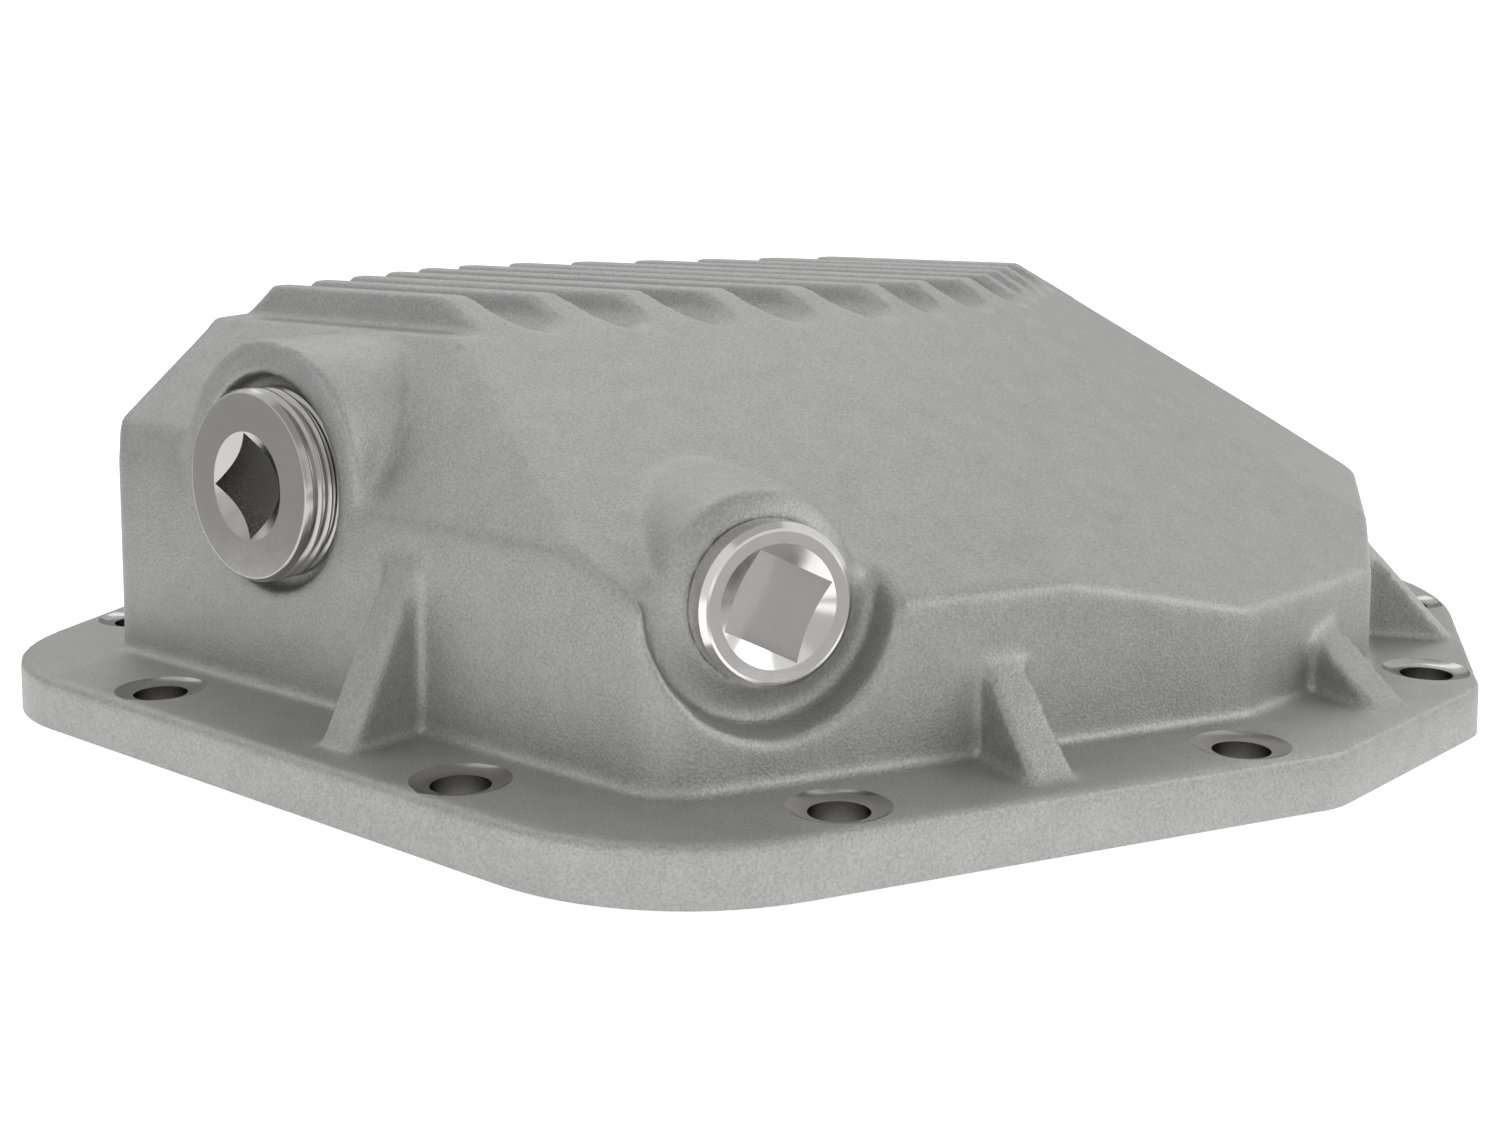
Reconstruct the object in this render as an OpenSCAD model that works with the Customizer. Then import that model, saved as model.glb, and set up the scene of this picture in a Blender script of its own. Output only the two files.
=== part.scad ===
// Differential cover: an aluminium casting with a twelve-bolt flange, a faceted domed body,
// cooling fins on its back, and two threaded plugs with square drive sockets.
// The mating face lies on z = 0 and the bolts run along z. The fins run along x.
// The bolt holes look the same after half a turn about the origin.

// Piece to draw

/* [Flange] */
// Length of the flange along x
flange_length = 285.4; // [275:0.2:300]
// Width of the flange along y
flange_width = 276.6; // [266:0.2:290]
// Thickness of the flange
flange_thickness = 10; // [8:0.5:14]
// Width added to the flange all round
flange_growth = 0; // [-1:0.25:3]
// Diameter of the bolt holes
bolt_hole_diameter = 10.1; // [8:0.1:11]
// Diameter of the shallow machined cone at each bolt hole
spotface_diameter = 17; // [14:0.5:18]
// Depth of that cone
spotface_depth = 1; // [0.5:0.1:2]

/* [Body] */
// Distance from the flange edge in to the body wall
wall_inset = 22.7; // [21.5:0.1:25]
// Thickness of the cast walls
wall_thickness = 7; // [5:0.5:8]
// Height of the flat top between the fins
top_height = 77.3; // [74:0.5:84]

/* [Fins] */
// Height of the fins above the flat top
fin_height = 6.9; // [3:0.1:8]
// Distance from one fin to the next
fin_pitch = 16.6; // [15:0.1:17]
// Thickness of a fin at its root
fin_root = 8; // [6:0.25:10]
// Thickness of a fin at its crest
fin_crest = 5.6; // [4:0.1:7]

/* [Gussets] */
// Width of the gussets between the wall and the flange
gusset_width = 8.4; // [6:0.2:10]

/* [Fill plug] */
// Radius of the cast boss round the fill plug
fill_boss_radius = 27; // [25:0.5:28]
// Diameter of the fill plug
fill_plug_diameter = 36.4; // [32:0.4:38]
// How far the fill plug stands out of the wall
fill_plug_stand = 4.5; // [3:0.5:7]
// Gap between the fill plug and the side of its recess
fill_recess_gap = 2.4; // [1:0.2:4]
// Depth of that recess
fill_recess_depth = 4; // [3:0.5:6]

/* [Drain plug] */
// Radius of the cast boss round the drain plug
drain_boss_radius = 18.2; // [17:0.1:20]
// Diameter of the drain plug
drain_plug_diameter = 27.2; // [25:0.1:31]
// Diameter of the recess round the drain boss
drain_recess_diameter = 42.4; // [40:0.2:44]
// Depth of that recess
drain_recess_depth = 8; // [7:0.2:10]
// Height by which the boss rises again towards the drain plug
drain_boss_rise = 2.2; // [1:0.1:3]

/* [Drive sockets] */
// Width across flats of the square drive sockets
socket_width = 14.2; // [10:0.1:15]
// Depth of the square drive sockets
socket_depth = 11; // [8:0.5:12]
// Gap between the shank of a plug and its hole
shank_gap = 0.1; // [0.05:0.05:0.3]

/* [Hidden] */
$fn = 96;
big = 400;

// How much longer and wider the plan is than the one drawn in the lists below
plan_x = flange_length / 285.4;
plan_y = flange_width / 276.6;

// Direction in which each straight side of the flange faces, and its distance from the origin
drawn_angle = [-90, -25.8, -3.4, 24.3, 90, 154.2, 176.6, 204.3];
drawn_reach = [138.3, 135, 140.4, 145.2, 138.3, 135, 140.4, 146.2];
side_way = [for (a = drawn_angle) [cos(a) / plan_x, sin(a) / plan_y]];
side_angle = [for (w = side_way) atan2(w[1], w[0])];
side_reach = [for (k = [0:7]) drawn_reach[k] / norm(side_way[k]) + flange_growth];
// Distance by which the body wall of each side stands further out than the wall inset says
wall_bulge = [0, 0, 1, 2.5, 0, 0, 0, 0];
// Radius of the corner after each side, for the flange and for the body
flange_corner = [45, 12, 12, 75, 50, 12, 12, 39];
body_corner = [12, 5, 3, 6, 6, 5, 5, 3];
// Height at which the wall of each side leans over, and how steeply it then rises
lean_height = [47.3, 38, 30, 36.2, 47.3, 50, 50, 57.5];
lean_grade = [1.18, 0.491, 0.56, 0.558, 3.2, 6.5, 4, 1.94];
// Shoulder beside the fill plug, where side 0 first rises steeply and then leans over higher up
shoulder_height = [49, 57.5];
shoulder_grade = [6, 0.825];
shoulder_inset = 1.4;

// Bolt holes of one half, the other half comes from half a turn
bolt_spots = [[-50.2, -128.1], [35.1, -128.1], [90.3, -99.1], [124.5, -29.2], [130.7, 41], [104.6, 98]];

// Gussets of one half: side, place along the side, reach, height at the wall, turn
gussets = [[0, 6.9, 16.2, 41, 0], [1, -13, 16.8, 27, 0], [2, 22, 18.5, 22, -18], [3, 12.9, 17.9, 30, 0]];

fin_count = 12;
first_fin = -84.5 * plan_y;
// How far the fin ends stand back from the edge of the flat top on sides 5 to 7, and their slope
fin_end_inset = [0.8, 0.8, 4.5];
fin_end_grade = [2.3, 2.3, 0.84];
fill_side = 0;
fill_along = -32.2 * plan_x;
fill_height = 50;
drain_side = 1;
drain_along = -54.3 * plan_y;
drain_height = 39.3;
drain_plug_sink = 0.5;
drain_chamfer = 1.2;
drain_rim_width = 1.2;
drain_face_diameter = drain_plug_diameter - 2 * drain_rim_width;
drain_pad_back = 8.4;
drain_pad_depth = drain_recess_depth + drain_pad_back;
fill_recess_diameter = fill_plug_diameter + 2 * fill_recess_gap;
socket_mouth = socket_width * sqrt(2) + 0.4;
mouth_depth = 2;
fill_socket_turn = 48.5;
drain_socket_turn = 63.4;
drain_pad_margin = 6;
drain_hole_length = 40;
drain_boss_length = 36;
drain_seat_radius = drain_plug_diameter / 2 + 0.4;
fill_pad_depth = fill_boss_radius;
fill_shank_radius = fill_plug_diameter / 2 - 3.2;
drain_shank_radius = drain_plug_diameter / 2 - 1;
fill_shank_length = 14;
drain_shank_length = 8;
body_reach = [for (k = [0:7]) side_reach[k] - wall_inset + wall_bulge[k]];
crest_height = top_height + fin_height;

// Point where two sides meet, each given by the way it faces and its distance
function meet(a, p, b, q) =
    [(p * sin(b) - q * sin(a)) / sin(b - a), (q * cos(a) - p * cos(b)) / sin(b - a)];
function facing(a) = [cos(a), sin(a)];
function after(k) = (k + 1) % 8;
// Centre of the round corner after side k
function corner(reach, radius, k) =
    meet(side_angle[k], reach[k] - radius[k],
         side_angle[after(k)], reach[after(k)] - radius[k]);

module outline(reach, radius) {
    polygon([for (k = [0:7], e = [0, 1])
        corner(reach, radius, k) + radius[k] * facing(side_angle[e == 0 ? k : after(k)])]);
    for (k = [0:7]) translate(corner(reach, radius, k)) circle(r = radius[k]);
}

// Everything above the plane that leans in over side k, moved inward by depth
module above_lean(k, from, height, grade, depth) {
    tilt = atan(grade);
    rotate([0, 0, side_angle[k]])
        translate([from - depth * sin(tilt), 0, height - depth * cos(tilt)])
            rotate([0, tilt, 0])
                translate([-big / 2, -big / 2, 0]) cube([big, big, big / 2]);
}

// Body form up to a height, with every face moved inward by depth
module body_form(height, depth) {
    reach = [for (r = body_reach) r - depth];
    radius = [for (r = body_corner) max(r - depth, 3)];
    difference() {
        translate([0, 0, depth > 0 ? -1 : 0])
            linear_extrude(height = height + (depth > 0 ? 1 : 0)) outline(reach, radius);
        for (k = [0:7]) above_lean(k, body_reach[k], lean_height[k], lean_grade[k], depth);
    }
}

// The higher left end of the body, beside the fill plug
module shoulder(height) {
    difference() {
        linear_extrude(height = height) outline(body_reach, body_corner);
        translate([fill_along, -big / 2, -1]) cube([big, big, big]);
        for (k = [1:7]) above_lean(k, body_reach[k], lean_height[k], lean_grade[k], 0);
        for (e = [0, 1])
            above_lean(0, body_reach[0] - e * shoulder_inset, shoulder_height[e], shoulder_grade[e], 0);
    }
}

// Put children on the wall of a side, with z pointing out of the wall
module on_wall(k, along, height) {
    rotate([0, 0, side_angle[k]]) translate([body_reach[k], along, height])
        rotate([0, 90, 0]) children();
}

module fins() {
    intersection() {
        body_form(crest_height, 0);
        for (i = [0:fin_count - 1])
            translate([-big / 2, first_fin + fin_root / 2 + i * fin_pitch * plan_y, top_height - 1])
                rotate([90, 0, 90]) linear_extrude(height = big)
                    polygon([[-fin_root / 2, 0], [fin_root / 2, 0], [fin_root / 2, 1],
                             [fin_crest / 2, fin_height + 1], [-fin_crest / 2, fin_height + 1],
                             [-fin_root / 2, 1]]);
    }
}

// Fins with their far ends sloped back from the edge of the flat top
module trimmed_fins() {
    difference() {
        fins();
        for (k = [5:7]) {
            edge = body_reach[k] - (top_height - lean_height[k]) / lean_grade[k];
            above_lean(k, edge - fin_end_inset[k - 5], top_height, fin_end_grade[k - 5], 0);
        }
    }
}

// Gusset whose sloping ridge meets the flange at the given reach
module gusset(side, along, reach, height, turn) {
    foot = reach * (height - flange_thickness + 2) / (height - flange_thickness);
    rotate([0, 0, side_angle[side]])
        translate([body_reach[side], along * (side == 0 ? plan_x : plan_y), 0])
        rotate([0, 0, turn]) rotate([90, 0, 0])
            linear_extrude(height = gusset_width, center = true)
                polygon([[-4, flange_thickness - 2], [foot, flange_thickness - 2],
                         [0, height], [-4, height]]);
}

module bolt_hole() {
    translate([0, 0, -1]) cylinder(h = flange_thickness + 2, d = bolt_hole_diameter);
    translate([0, 0, flange_thickness - spotface_depth])
        cylinder(h = spotface_depth, d1 = bolt_hole_diameter, d2 = spotface_diameter);
    translate([0, 0, flange_thickness]) cylinder(h = 6, d = spotface_diameter);
}

// Cast bosses inside the body behind the two plugs
module pads() {
    on_wall(fill_side, fill_along, fill_height)
        translate([0, 0, -fill_pad_depth]) cylinder(h = fill_pad_depth, r = fill_boss_radius);
    on_wall(drain_side, drain_along, drain_height)
        translate([0, 0, -drain_pad_depth]) cylinder(h = drain_pad_depth, r = drain_boss_radius + drain_pad_margin);
}

module hollow() {
    difference() {
        body_form(top_height - wall_thickness, wall_thickness);
        pads();
    }
}

module cover_solid() {
    linear_extrude(height = flange_thickness) outline(side_reach, flange_corner);
    body_form(top_height, 0);
    shoulder(top_height);
    trimmed_fins();
    for (s = [0, 180], g = gussets) rotate([0, 0, s]) gusset(g[0], g[1], g[2], g[3], g[4]);
    on_wall(fill_side, fill_along, fill_height)
        translate([0, 0, -fill_pad_depth]) cylinder(h = fill_pad_depth, r = fill_boss_radius);
}

module cover() {
    color([0.62, 0.62, 0.61]) difference() {
        union() {
            difference() {
                cover_solid();
                hollow();
                on_wall(drain_side, drain_along, drain_height)
                    translate([0, 0, -drain_recess_depth])
                        cylinder(h = big / 4, d = drain_recess_diameter);
            }
            difference() {
                on_wall(drain_side, drain_along, drain_height) {
                    translate([0, 0, -drain_recess_depth - drain_boss_length])
                        cylinder(h = drain_boss_length, r = drain_boss_radius);
                    translate([0, 0, -drain_recess_depth])
                        cylinder(h = drain_boss_rise, r1 = drain_boss_radius, r2 = drain_seat_radius);
                }
                hollow();
            }
        }
        on_wall(fill_side, fill_along, fill_height) {
            translate([0, 0, -fill_recess_depth])
                cylinder(h = fill_recess_depth + 5, d = fill_recess_diameter);
            translate([0, 0, -fill_pad_depth - 5])
                cylinder(h = fill_pad_depth + 5, r = fill_shank_radius + shank_gap);
        }
        on_wall(drain_side, drain_along, drain_height)
            translate([0, 0, -drain_recess_depth - drain_hole_length])
                cylinder(h = drain_hole_length + drain_boss_rise + 1, r = drain_shank_radius + shank_gap);
        for (s = [0, 180], p = bolt_spots)
            rotate([0, 0, s]) translate([p[0] * plan_x, p[1] * plan_y]) bolt_hole();
    }
}

// Square drive socket, cut down from z = 0
module socket() {
    translate([0, 0, -socket_depth])
        linear_extrude(height = socket_depth + 1) square(socket_width, center = true);
    translate([0, 0, -mouth_depth])
        cylinder(h = mouth_depth + 0.01, d1 = socket_mouth - 2 * mouth_depth, d2 = socket_mouth);
}

module fill_plug() {
    head = fill_plug_stand + fill_recess_depth;
    color([0.55, 0.55, 0.56])
        on_wall(fill_side, fill_along, fill_height) translate([0, 0, fill_plug_stand])
            difference() {
                union() {
                    translate([0, 0, -head]) cylinder(h = head - 0.8, d = fill_plug_diameter);
                    translate([0, 0, -0.8])
                        cylinder(h = 0.8, d1 = fill_plug_diameter, d2 = fill_plug_diameter - 1.6);
                    translate([0, 0, -head - fill_shank_length])
                        cylinder(h = fill_shank_length + 1, r = fill_shank_radius);
                }
                rotate([0, 0, fill_socket_turn]) socket();
            }
}

module drain_plug() {
    head = drain_recess_depth - drain_boss_rise - drain_plug_sink;
    color([0.72, 0.72, 0.73])
        on_wall(drain_side, drain_along, drain_height) translate([0, 0, -drain_plug_sink])
            difference() {
                union() {
                    translate([0, 0, -head])
                        cylinder(h = head - drain_chamfer, d = drain_plug_diameter);
                    translate([0, 0, -drain_chamfer])
                        cylinder(h = drain_chamfer, d1 = drain_plug_diameter, d2 = drain_face_diameter);
                    translate([0, 0, -head - drain_shank_length])
                        cylinder(h = drain_shank_length + 1, r = drain_shank_radius);
                }
                rotate([0, 0, drain_socket_turn]) socket();
            }
}

cover();
fill_plug();
drain_plug();
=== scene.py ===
# %% [markdown]
# # A differential cover
# The real part is an aluminium sand casting that closes the back of an axle. Its flange is
# bolted down, oil goes in at the big plug and out at the small one, and the fins shed heat.
# The measured solids come from CAD and are never changed here. Each visible piece is built
# round them: the casting keeps its exact planes and gets the soft edges of a sand mould,
# and the two plugs are turned on a lathe in mesh code.

# %% Load the measured frame
import math

import bmesh
import bpy
import numpy as np
from mathutils import Matrix, Vector


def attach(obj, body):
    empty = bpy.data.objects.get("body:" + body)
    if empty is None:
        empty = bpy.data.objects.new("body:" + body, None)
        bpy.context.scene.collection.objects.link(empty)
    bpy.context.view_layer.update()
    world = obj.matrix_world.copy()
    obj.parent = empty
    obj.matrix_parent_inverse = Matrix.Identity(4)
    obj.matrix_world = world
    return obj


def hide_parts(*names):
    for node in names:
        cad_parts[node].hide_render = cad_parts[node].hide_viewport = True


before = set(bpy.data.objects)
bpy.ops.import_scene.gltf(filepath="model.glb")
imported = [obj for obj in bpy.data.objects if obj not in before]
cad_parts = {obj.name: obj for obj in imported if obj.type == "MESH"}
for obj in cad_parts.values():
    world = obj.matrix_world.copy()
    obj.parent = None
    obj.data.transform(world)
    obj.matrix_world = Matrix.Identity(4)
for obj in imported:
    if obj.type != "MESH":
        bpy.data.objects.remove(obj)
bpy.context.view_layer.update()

MM = 0.001

# %% [markdown]
# ## The camera
# The photograph looks at the corner between the two plugs from a little above the top of
# the cover. Upright edges stay upright in it, so the lens is shifted down instead of the
# camera being tilted much.

# %% Camera
CAMERA_PLACE = Vector((263.35, -329.95, 108.5)) * MM
CAMERA_TURN, CAMERA_TILT = 39.815, -6.0
camera_data = bpy.data.cameras.new("photo_camera")
camera_data.lens, camera_data.sensor_width = 45.68, 36
camera_data.shift_x, camera_data.shift_y = 0.0042, -0.128
camera_data.clip_start = 0.01
camera = bpy.data.objects.new("photo_camera", camera_data)
camera.location = CAMERA_PLACE
camera.rotation_euler = (math.radians(90 + CAMERA_TILT), 0, math.radians(CAMERA_TURN))
bpy.context.scene.collection.objects.link(camera)
bpy.context.scene.camera = camera
bpy.context.scene.view_settings.view_transform = "Standard"

# %% [markdown]
# ## Helpers for pieces
# Every piece is made in place, so its object can stay at the origin. A boolean cut is a
# modifier whose result is kept, the way a mill works on a finished casting.

# %% Piece helpers
def add_piece(name, shape):
    """Turns a bmesh into an object of the scene."""
    mesh = bpy.data.meshes.new(name)
    shape.to_mesh(mesh)
    shape.free()
    piece = bpy.data.objects.new(name, mesh)
    bpy.context.scene.collection.objects.link(piece)
    return piece


def settle(piece):
    """Keeps what the piece's modifiers make."""
    seen = bpy.context.evaluated_depsgraph_get()
    mesh = bpy.data.meshes.new_from_object(piece.evaluated_get(seen))
    old = piece.data
    piece.modifiers.clear()
    piece.data = mesh
    bpy.data.meshes.remove(old)


def cut_away(piece, cutter, operation="DIFFERENCE"):
    """Takes the cutter's space out of the piece, and the cutter out of the scene."""
    modifier = piece.modifiers.new("cut", "BOOLEAN")
    modifier.operation, modifier.solver, modifier.object = operation, "MANIFOLD", cutter
    settle(piece)
    bpy.data.objects.remove(cutter)


def turned(profile, steps):
    """A lathe shape round z, from (radius, height) points in mm."""
    shape = bmesh.new()
    points = [shape.verts.new((r * MM, 0, z * MM)) for r, z in profile]
    edges = [shape.edges.new(pair) for pair in zip(points, points[1:])]
    bmesh.ops.spin(shape, geom=points + edges, cent=(0, 0, 0), axis=(0, 0, 1),
                   angle=math.tau, steps=steps, use_merge=True)
    bmesh.ops.remove_doubles(shape, verts=shape.verts, dist=1e-6)
    bmesh.ops.recalc_face_normals(shape, faces=shape.faces)
    return shape


# %% [markdown]
# ## Where the parts of the casting are
# The eight sides of the plan each face one way. These are the same numbers as in the CAD
# source, and they tell which edges of the casting are to be softened most.

# %% Sides, bolts and plug places
SIDE_FACING = [-90, -25.8, -3.4, 24.3, 90, 154.2, 176.6, 204.3]
FLANGE_REACH = [138.3, 135, 140.4, 145.2, 138.3, 135, 140.4, 146.2]
BODY_REACH = [115.6, 112.3, 118.7, 125, 115.6, 112.3, 117.7, 123.5]
BOLTS = [(-50.2, -128.1), (35.1, -128.1), (90.3, -99.1), (124.5, -29.2), (130.7, 41), (104.6, 98)]
BOLTS += [(-x, -y) for x, y in BOLTS]
FLANGE_TOP, BOLT_RADIUS, SPOT_RADIUS, SPOT_DEPTH = 10, 5.05, 8.5, 1


def beyond(points, reaches):
    """How far points in mm lie outside the straight sides with these reaches."""
    return np.max([points[:, 0] * math.cos(math.radians(a)) + points[:, 1] * math.sin(math.radians(a)) - r
                   for a, r in zip(SIDE_FACING, reaches)], axis=0)


def wall_place(side, along, height):
    """Axes on a body wall: x down, y along the wall, z straight out of it."""
    a = math.radians(SIDE_FACING[side])
    out, run = Vector((math.cos(a), math.sin(a), 0)), Vector((-math.sin(a), math.cos(a), 0))
    turn = Matrix((Vector((0, 0, -1)), run, out)).transposed().to_4x4()
    spot = out * BODY_REACH[side] + run * along + Vector((0, 0, height))
    return Matrix.Translation(spot * MM) @ turn


FILL_PLACE = wall_place(0, -32.2, 50)
DRAIN_PLACE = wall_place(1, -54.3, 39.3)


def from_axis(points, place):
    """Distance in mm of points in mm from the axis that stands out of a wall."""
    local = np.asarray(place.inverted())
    moved = (points * MM) @ local[:3, :3].T + local[:3, 3]
    return np.hypot(moved[:, 0], moved[:, 1]) / MM


# %% [markdown]
# ## The casting
# A sand casting has no sharp edge anywhere. Bevelling each edge of such a many-sided body
# would fight over its corners, so the solid is turned into a fine even net of faces instead
# and the net is relaxed: flat places stay flat, edges become round, and inside corners fill
# up like a pattern maker's wax fillet. A second, longer pass softens the creases of the body
# and the foot of its wall. The flange is made too deep at first, because the real bottom is
# milled flat after casting.

# %% Casting from the measured solid
SKIRT = 6
NET = 0.8
FIN_LINES = [-80.5 + 16.6 * i for i in range(12)]
FLAT_TOP, FIN_ROOT, GROOVE_RISE = 77.3, 8, 4.2


def groove_fillets(cover):
    """Fills the bottom corners of the grooves between the fins, so each groove is a U."""
    half = (FIN_LINES[1] - FIN_LINES[0] - FIN_ROOT) / 2
    arc = [(math.cos(t) * (half + 0.65), FLAT_TOP + GROOVE_RISE * (1 - math.sin(t)))
           for t in np.linspace(0, math.pi, 17)]
    outline = [(half + 1.2, FLAT_TOP - 1), (half + 1.2, FLAT_TOP + GROOVE_RISE)] + arc
    outline += [(-half - 1.2, FLAT_TOP + GROOVE_RISE), (-half - 1.2, FLAT_TOP - 1)]
    strips = bmesh.new()
    for a, b in zip(FIN_LINES, FIN_LINES[1:]):
        points = [strips.verts.new((-0.15, (a + b) / 2 * MM + y * MM, z * MM)) for y, z in outline]
        end = strips.faces.new(points)
        pulled = bmesh.ops.extrude_face_region(strips, geom=[end], use_keep_orig=True)["geom"]
        bmesh.ops.translate(strips, verts=[v for v in pulled if isinstance(v, bmesh.types.BMVert)], vec=(0.3, 0, 0))
    bmesh.ops.recalc_face_normals(strips, faces=strips.faces)
    strips = add_piece("strips", strips)
    hull = bmesh.new()
    for v in cover.verts:
        if v.co.z > 60 * MM:
            hull.verts.new(v.co)
    loose = bmesh.ops.convex_hull(hull, input=hull.verts)["geom_interior"]
    bmesh.ops.delete(hull, geom=[v for v in loose if isinstance(v, bmesh.types.BMVert)], context="VERTS")
    cut_away(strips, add_piece("hull", hull), "INTERSECT")
    bpy.context.scene.collection.objects.unlink(strips)
    return strips


def bulge(mesh, spots):
    """How far in mm each point stands out of the middle of its neighbours."""
    ends = np.zeros(len(mesh.edges) * 2, np.int32)
    mesh.edges.foreach_get("vertices", ends)
    total, count = np.zeros_like(spots), np.zeros((len(spots), 1))
    for a, b in (ends.reshape(-1, 2).T, ends.reshape(-1, 2).T[::-1]):
        np.add.at(total, a, spots[b])
        np.add.at(count, a, 1)
    normals = np.zeros(len(spots) * 3, np.float32)
    mesh.vertices.foreach_get("normal", normals)
    return np.einsum("ij,ij->i", spots - total / count, normals.reshape(-1, 3))


body = bmesh.new()
body.from_mesh(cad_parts["cover"].data)
bmesh.ops.remove_doubles(body, verts=body.verts, dist=2e-6)
body.from_mesh(groove_fillets(body).data)
bottom = [v for v in body.verts if v.co.z < 1e-5]
bmesh.ops.translate(body, verts=bottom, vec=(0, 0, -SKIRT * MM))
for x, y in BOLTS:
    bmesh.ops.create_cone(body, cap_ends=True, segments=48, radius1=9 * MM, radius2=9 * MM,
                          depth=(FLANGE_TOP + SKIRT) * MM,
                          matrix=Matrix.Translation((x * MM, y * MM, (FLANGE_TOP - SKIRT) / 2 * MM)))
cast_cover = add_piece("cast_cover", body)
net = cast_cover.modifiers.new("net", "REMESH")
net.mode, net.voxel_size, net.use_smooth_shade = "VOXEL", NET * MM, True
settle(cast_cover)
print("casting net:", len(cast_cover.data.vertices), "points")

# %% Soft edges
spots = np.zeros(len(cast_cover.data.vertices) * 3, np.float32)
cast_cover.data.vertices.foreach_get("co", spots)
spots = spots.reshape(-1, 3).astype(float) / MM
height = spots[:, 2]
outside_wall = beyond(spots, BODY_REACH)
from_fill, from_drain = from_axis(spots, FILL_PLACE), from_axis(spots, DRAIN_PLACE)
on_fill, on_drain = (from_fill < 23.5) & (spots[:, 1] < -80), (from_drain < 15.2) & (spots[:, 0] > 40)
hollow_corner = bulge(cast_cover.data, spots) < -0.1
soft = (height > 14) & (height < 75.5) & (outside_wall < 3.5) & ~hollow_corner
soft |= (from_drain < 25) & (spots[:, 0] > 40)
groups = {"all_edges": (3, height > -99), "lower_edges": (5, (height < 75) & ~hollow_corner),
          "fin_edges": (3, height > 79), "body_creases": (14, soft & ~on_fill & ~on_drain),
          "drain_recess": (25, (from_drain > 15.6) & (from_drain < 22.5) & (spots[:, 0] > 40) & (height > 12))}
for name, (turns, chosen) in groups.items():
    cast_cover.vertex_groups.new(name=name).add([int(i) for i in np.flatnonzero(chosen)], 1, "REPLACE")
    relax = cast_cover.modifiers.new(name, "SMOOTH")
    relax.factor, relax.iterations, relax.vertex_group = 0.5, turns, name
settle(cast_cover)
thin = cast_cover.modifiers.new("thin", "DECIMATE")
thin.ratio = 170000 / (2 * len(cast_cover.data.polygons))
settle(cast_cover)
cast_cover.vertex_groups.clear()
print("casting:", len(cast_cover.data.polygons), "faces")

# %% [markdown]
# ## Machining
# The mill takes the bottom of the flange down to one flat face, drills the bolt holes and
# sinks a shallow bowl round each. These edges stay sharp.

# %% Milled bottom and drilled holes
mill = bmesh.new()
bmesh.ops.create_cube(mill, size=1, matrix=Matrix.Translation((0, 0, -0.05)) @ Matrix.Diagonal((0.5, 0.5, 0.1, 1)))
cut_away(cast_cover, add_piece("mill", mill))
bowl = [(BOLT_RADIUS + (SPOT_RADIUS - BOLT_RADIUS) * t, FLANGE_TOP - SPOT_DEPTH * (1 - t ** 2.2))
        for t in np.linspace(0, 1, 9)]
for x, y in BOLTS:
    drill = turned([(0, -2), (BOLT_RADIUS, -2)] + bowl + [(SPOT_RADIUS, FLANGE_TOP + 0.5), (0, FLANGE_TOP + 0.5)], 64)
    bmesh.ops.translate(drill, verts=drill.verts, vec=(x * MM, y * MM, 0))
    cut_away(cast_cover, add_piece("drill", drill))
print("after machining:", len(cast_cover.data.polygons), "faces")

# %% [markdown]
# ## The plugs
# Both plugs are turned from bar. A profile is spun round the axis, then the square drive
# socket and its cone are cut out of the face. The big plug stands out of its recess, so the
# tops of its thread show as rings. The small plug has a plain bright rim with a chamfer.

# %% Turned plugs
SOCKET, SOCKET_DEPTH, MOUTH_DEPTH, MOUTH_END = 14.2, 11, 1.8, 7.0
MOUTH_RADIUS = (SOCKET * math.sqrt(2) + 0.4) / 2


def plug(name, profile, face, place, turn):
    """A turned plug with a square socket, its face at this height above the wall."""
    piece = add_piece(name, turned(profile, 128))
    mouth = turned([(0, face - MOUTH_DEPTH), (MOUTH_END, face - MOUTH_DEPTH), (MOUTH_RADIUS, face),
                    (MOUTH_RADIUS, face + 0.5), (0, face + 0.5)], 128)
    cut_away(piece, add_piece("mouth", mouth))
    square = bmesh.new()
    bmesh.ops.create_cube(square, size=1, matrix=Matrix.Translation((0, 0, (face - SOCKET_DEPTH + 10) * MM))
                          @ Matrix.Rotation(math.radians(turn), 4, "Z")
                          @ Matrix.Diagonal((SOCKET * MM, SOCKET * MM, 20 * MM, 1)))
    cut_away(piece, add_piece("square", square))
    piece.data.transform(place)
    print(name, len(piece.data.polygons), "faces")
    return piece


FILL_FACE, DRAIN_FACE = 4.5, -0.5
THREAD_PITCH, THREAD_CREST, THREAD_ROOT = 2.2, 18.2, 17.0
thread = []
for step in range(29):
    z = FILL_FACE - 1.3 - step * 0.25
    wave = 0.5 + 0.5 * math.cos(math.tau * (z - FILL_FACE + 1.3) / THREAD_PITCH)
    thread.append((THREAD_ROOT + (THREAD_CREST - THREAD_ROOT) * wave ** 0.8, z))
fill_profile = [(0, FILL_FACE), (17.2, FILL_FACE), (17.4, FILL_FACE - 0.04), (17.6, FILL_FACE - 0.18),
                (17.75, FILL_FACE - 0.4), (18.0, FILL_FACE - 0.9)]
fill_profile += thread + [(17, -4), (15, -4), (15, -18), (0, -18)]
fill_plug = plug("threaded_fill_plug", fill_profile, FILL_FACE, FILL_PLACE, 48.5)
drain_profile = [(0, DRAIN_FACE), (12.2, DRAIN_FACE), (12.65, -0.6), (13.6, -1.5), (13.6, -1.7),
                 (13.6, -5.6), (13.4, -5.8), (12.6, -5.8), (12.6, -13.8), (0, -13.8)]
drain_plug = plug("bright_drain_plug", drain_profile, DRAIN_FACE, DRAIN_PLACE, 63.4)

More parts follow.
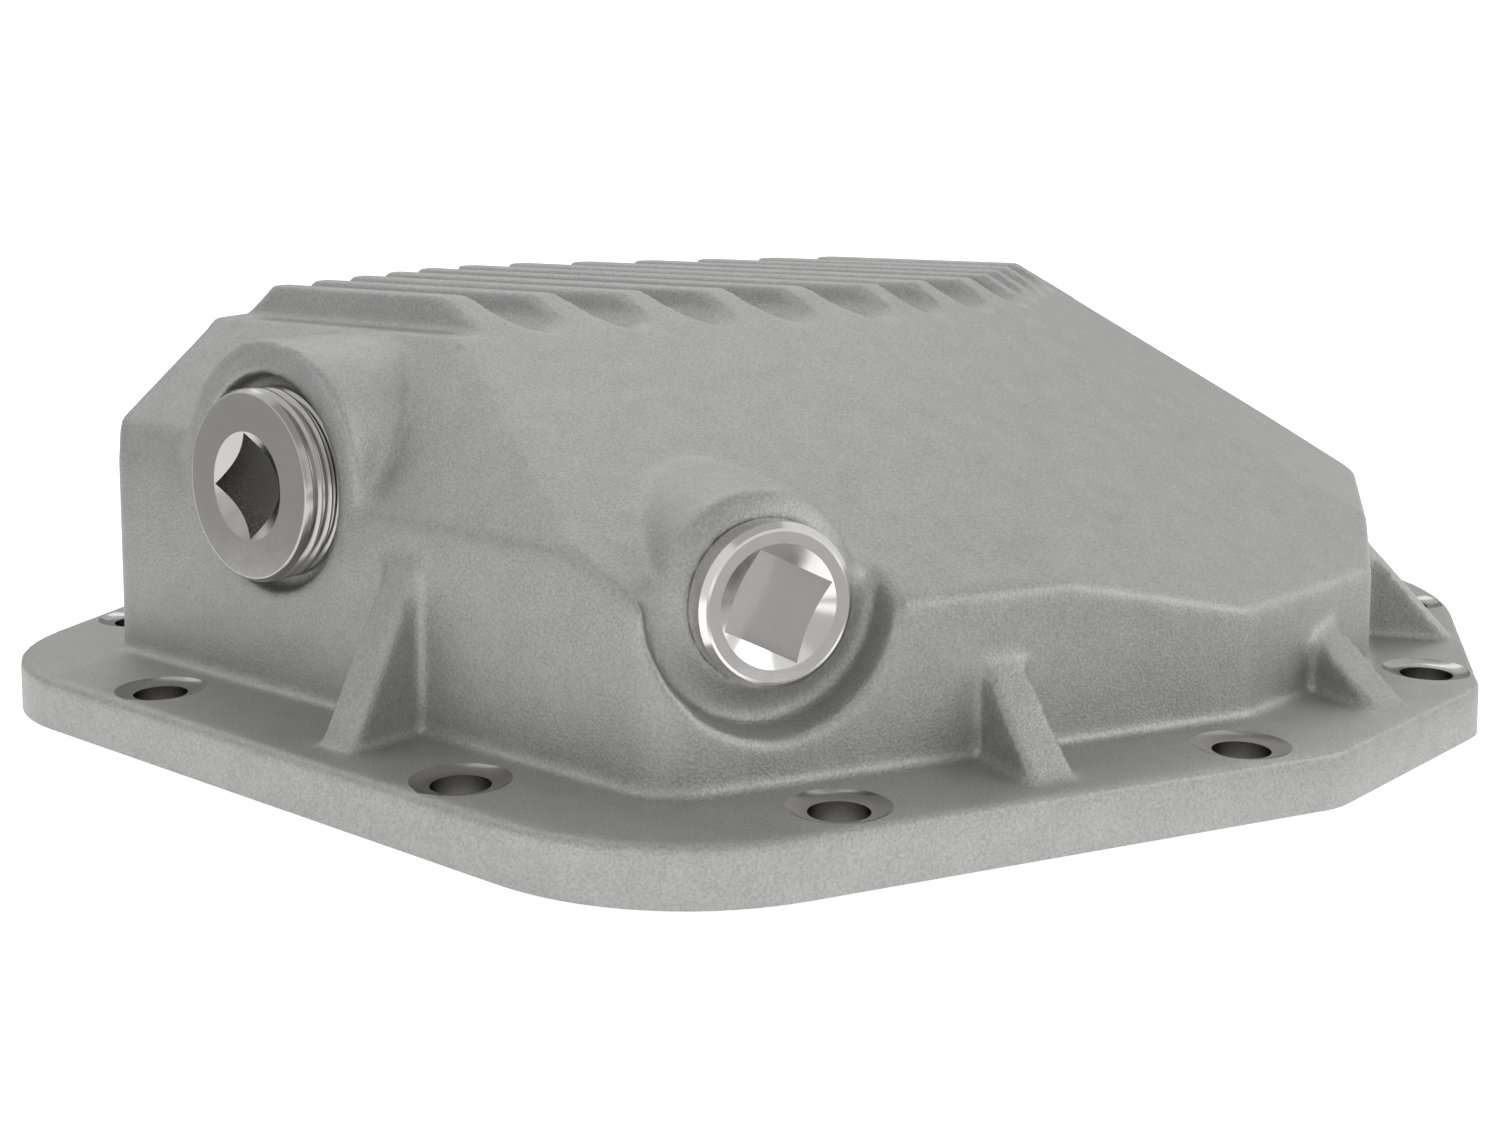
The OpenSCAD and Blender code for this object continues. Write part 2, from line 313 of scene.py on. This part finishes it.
# %% [markdown]
# ## Writing finishes as sums
# A finish is a small net of nodes. The two classes below let it be written as Python
# expressions: a signal is what comes out of a node, and adding or multiplying signals adds
# the Math nodes that do so.

# %% Signals and finishes
class Signal:
    """What one node gives, with Python's operators for sums."""

    def __init__(self, finish, socket):
        self.finish, self.socket = finish, socket

    def sum(self, operation, first, second):
        return self.finish.node("ShaderNodeMath", {"operation": operation}, {0: first, 1: second})

    def __add__(self, other): return self.sum("ADD", self, other)
    def __radd__(self, other): return self.sum("ADD", other, self)
    def __sub__(self, other): return self.sum("SUBTRACT", self, other)
    def __rsub__(self, other): return self.sum("SUBTRACT", other, self)
    def __mul__(self, other): return self.sum("MULTIPLY", self, other)
    def __rmul__(self, other): return self.sum("MULTIPLY", other, self)
    def __truediv__(self, other): return self.sum("DIVIDE", self, other)
    def __rtruediv__(self, other): return self.sum("DIVIDE", other, self)


class Finish:
    """A material and the nodes that make it."""

    def __init__(self, name, tree=None):
        if tree is None:
            self.material = bpy.data.materials.new(name)
            self.material.use_nodes = True
            tree = self.material.node_tree
        self.tree = tree
        self.tree.nodes.clear()

    def node(self, kind, settings=None, inputs=None, out=0):
        made = self.tree.nodes.new(kind)
        for key, value in (settings or {}).items():
            if key == "stops":
                for stop, (place, level) in zip(made.color_ramp.elements, value):
                    stop.position, stop.color = place, (level, level, level, 1)
            else:
                setattr(made, key, value)
        for key, value in (inputs or {}).items():
            if isinstance(value, Signal):
                self.tree.links.new(value.socket, made.inputs[key])
            else:
                made.inputs[key].default_value = value
        return Signal(self, made.outputs[out])

    def noise(self, scale, detail=2.0, rough=0.5):
        return self.node("ShaderNodeTexNoise", {}, {"Vector": self.spot(), "Scale": scale, "Detail": detail,
                                                    "Roughness": rough})

    def spot(self):
        return self.node("ShaderNodeTexCoord", out="Object")

    def blend(self, share, first, second):
        """A colour between two colours."""
        settings = {"data_type": "RGBA", "clamp_factor": True}
        return self.node("ShaderNodeMix", settings, {"Factor": share, 6: (*first, 1), 7: (*second, 1)}, out=2)

    def vector(self, operation, *values, out=0):
        return self.node("ShaderNodeVectorMath", {"operation": operation}, dict(enumerate(values)), out=out)

    def metal(self, colour, rough, height, depth, strength=1.0, **fixed):
        bump = self.node("ShaderNodeBump", {}, {"Height": height, "Distance": depth * MM, "Strength": strength})
        inputs = {"Base Color": colour, "Roughness": rough, "Normal": bump, **fixed}
        shader = self.node("ShaderNodeBsdfPrincipled", {}, inputs)
        self.node_output("ShaderNodeOutputMaterial", shader)
        return self

    def node_output(self, kind, shader):
        end = self.tree.nodes.new(kind)
        self.tree.links.new(shader.socket, end.inputs["Surface"])


# %% [markdown]
# ## The finishes
# Sand leaves a fine even grain on cast aluminium, with slightly darker and lighter clouds.
# Milled aluminium is brighter and smoother. It is one metal in two tones with the same
# scratch grain: the lighter tone in the bowls round the bolt holes is a painted highlight,
# and the darker tone on the hole walls and the flat bottom is painted shade in the holes.
# The plugs are turned, so very fine rings run round their axes: the distance from the axis
# drives a wave.

# %% Cast and machined aluminium
cast = Finish("cast_aluminium")
grain = cast.noise(2000, 2.0, 0.6)
clouds = cast.noise(170, 3.0)
tone = grain * 0.8 + clouds * 0.2
cast.metal(cast.blend((tone - 0.35) * 3.3, (0.385, 0.385, 0.382), (0.53, 0.53, 0.526)),
           0.46 + grain * 0.12, grain * 0.9 + clouds * 0.1, 0.15, 1.0, Metallic=0.8)
# One machined metal in two tones: the lighter tone on the bowls is a painted highlight, the darker tone in the
# drilled holes is painted shade.
milled_and_hole_shade, countersunk_and_bowl_highlight = Finish("milled_aluminium_and_hole_shade"), Finish("countersunk_aluminium_and_bowl_highlight")
for finish, dark, light in ((milled_and_hole_shade, (0.36, 0.352, 0.348), (0.42, 0.412, 0.408)),
                            (countersunk_and_bowl_highlight, (0.38, 0.372, 0.366), (0.46, 0.45, 0.444))):
    scratches = finish.noise(900, 2.0)
    finish.metal(finish.blend(scratches, dark, light), 0.14 + scratches * 0.08, scratches, 0.008, 0.3, Metallic=1.0)


def turned_metal(name, place, dark, light, rough, ring, **fixed):
    """Metal with turning rings round the axis of a wall place."""
    finish = Finish(name)
    centre, axis = place.translation, place.to_3x3().col[2]
    arm = finish.vector("SUBTRACT", finish.spot(), tuple(centre))
    reach = finish.vector("LENGTH", finish.vector("CROSS_PRODUCT", arm, tuple(axis)), out="Value")
    waves = finish.node("ShaderNodeMath", {"operation": "SINE"}, {0: reach * (math.tau / (ring * MM))})
    smear = finish.noise(320, 3.0)
    return finish.metal(finish.blend(smear, dark, light), rough + smear * 0.08,
                        waves * 0.5 + smear * 0.5, 0.006, 0.35, **fixed)


fill_metal = turned_metal("fill_plug_metal", FILL_PLACE, (0.47, 0.462, 0.457), (0.50, 0.492, 0.487), 0.17, 0.35, Metallic=1.0)
drain_metal = turned_metal("drain_plug_metal", DRAIN_PLACE, (0.74, 0.727, 0.722), (0.78, 0.767, 0.762), 0.12, 0.30, Metallic=1.0)

# %% Dress the pieces
cast_cover.data.materials.clear()
for finish in (cast, milled_and_hole_shade, countersunk_and_bowl_highlight):
    cast_cover.data.materials.append(finish.material)
shape = bmesh.new()
shape.from_mesh(cast_cover.data)
spots_xy = np.array(BOLTS) * MM
for face in shape.faces:
    centre = face.calc_center_median()
    to_bolt = float(np.min(np.hypot(spots_xy[:, 0] - centre.x, spots_xy[:, 1] - centre.y)))
    # Hole walls and the bottom take index 1, the darker machined tone that paints shade in the holes; the bowls take
    # index 2, the lighter tone that paints a highlight.
    machined = centre.z < 1e-5 or to_bolt < (BOLT_RADIUS + 0.02) * MM
    sunk = to_bolt < (SPOT_RADIUS - 0.02) * MM and centre.z < (FLANGE_TOP + 1) * MM
    face.material_index = 1 if machined else 2 if sunk else 0
    face.smooth = True
for edge in shape.edges:
    marks = {face.material_index for face in edge.link_faces}
    edge.smooth = marks == {0} or (len(marks) == 1 and edge.calc_face_angle(0) < math.radians(25))
shape.to_mesh(cast_cover.data)
shape.free()
for piece, finish in ((fill_plug, fill_metal), (drain_plug, drain_metal)):
    piece.data.materials.clear()
    piece.data.materials.append(finish.material)
    piece.data.shade_smooth()
    piece.data.set_sharp_from_angle(angle=math.radians(9))
for piece, node, slot in ((cast_cover, "cover", "casting"), (fill_plug, "fill_plug", "fill_plug_metal"),
                          (drain_plug, "drain_plug", "drain_plug_metal")):
    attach(piece, "root")
    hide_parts(node)

# %% [markdown]
# ## The studio
# The photograph has a pure white background and soft light. The floor and the world are
# white to the camera and to reflections. Grey cards that only reflections see stand round
# the part, because bare metal in an all white room has no shape.

# %% Floor and world
FLOOR_DROP = 0.3
floor_shape = bmesh.new()
bmesh.ops.create_grid(floor_shape, x_segments=1, y_segments=1, size=300)
bmesh.ops.translate(floor_shape, verts=floor_shape.verts, vec=(0, 0, -FLOOR_DROP * MM))
floor = add_piece("floor", floor_shape)


def ray(finish, kind):
    """1 for rays of one kind: Camera or Glossy."""
    return finish.node("ShaderNodeLightPath", out=f"Is {kind} Ray")


paper = Finish("floor_paper")
glow = paper.node("ShaderNodeEmission", {}, {"Color": (1, 1, 1, 1), "Strength": ray(paper, "Camera") * 0.8 + ray(paper, "Glossy") * 0.78})
matte = paper.node("ShaderNodeBsdfDiffuse", {}, {"Color": (0.8, 0.8, 0.8, 1)})
paper.node_output("ShaderNodeOutputMaterial", paper.node("ShaderNodeAddShader", {}, {0: glow, 1: matte}))
floor.data.materials.append(paper.material)

world = bpy.data.worlds.new("studio")
bpy.context.scene.world = world
world.use_nodes = True
room = Finish("room", world.node_tree)
AMBIENT, REFLECTED = 0.66, 0.80
level = AMBIENT + ray(room, "Camera") * (1 - AMBIENT) + ray(room, "Glossy") * (REFLECTED - AMBIENT)
room.node_output("ShaderNodeOutputWorld", room.node("ShaderNodeBackground", {}, {"Color": (1, 1, 1, 1), "Strength": level}))


# %% Cards and lamps
def facing_middle(place):
    """The turn that points an object's -Z at the middle of the cover."""
    return (Vector((0, 0, 0.04)) - Vector(place)).to_track_quat("-Z", "Y").to_matrix().to_4x4()


def card(name, place, width, tall, grey):
    """A grey card that only reflections and shaded light see."""
    sheet = bmesh.new()
    bmesh.ops.create_grid(sheet, x_segments=1, y_segments=1, size=0.5)
    sheet.transform(Matrix.Translation(place) @ facing_middle(place) @ Matrix.Diagonal((width, tall, 1, 1)))
    show_to_reflections(name, sheet, grey)


def show_to_reflections(name, sheet, grey):
    piece = add_piece(name, sheet)
    surface = Finish(name)
    surface.node_output("ShaderNodeOutputMaterial",
                        surface.node("ShaderNodeEmission", {}, {"Color": (grey, grey, grey, 1), "Strength": 1.0}))
    piece.data.materials.append(surface.material)
    piece.visible_camera = piece.visible_shadow = False


def floor_card(name, middle, sides, grey, height=-FLOOR_DROP / 2 * MM):
    """A grey card lying flat, on the floor or at this height."""
    sheet = bmesh.new()
    bmesh.ops.create_grid(sheet, x_segments=1, y_segments=1, size=0.5)
    sheet.transform(Matrix.Translation((*middle, height)) @ Matrix.Diagonal((*sides, 1, 1)))
    show_to_reflections(name, sheet, grey)


def lamp(name, place, size, power):
    data = bpy.data.lights.new(name, "AREA")
    data.shape, data.size, data.energy = "DISK", size, power
    light = bpy.data.objects.new(name, data)
    light.matrix_world = Matrix.Translation(place) @ facing_middle(place)
    light.visible_camera = False
    bpy.context.scene.collection.objects.link(light)


card("card_back", (-1.15, 1.0, 0.2), 2.4, 0.9, 0.30)
card("card_left", (-1.0, -1.15, 0.25), 1.5, 0.9, 0.46)
card("card_camera", (1.0, -1.2, 0.35), 1.4, 1.1, 0.56)
floor_card("card_ceiling", (0.5, -0.25), (1.8, 1.5), 0.46, 1.5)
card("strip_light", (-0.6, 0.55, 0.95), 1.2, 0.35, 1.9)
card("strip_left", (-1.1, -0.3, 1.05), 0.8, 0.5, 1.1)
floor_card("card_floor_left", (-0.75, -0.75), (1.3, 1.1), 0.48)
floor_card("card_floor_right", (0.55, -0.02), (0.78, 0.5), 0.50)
lamp("key_right", (1.15, 0.55, 0.6), 0.9, 3)
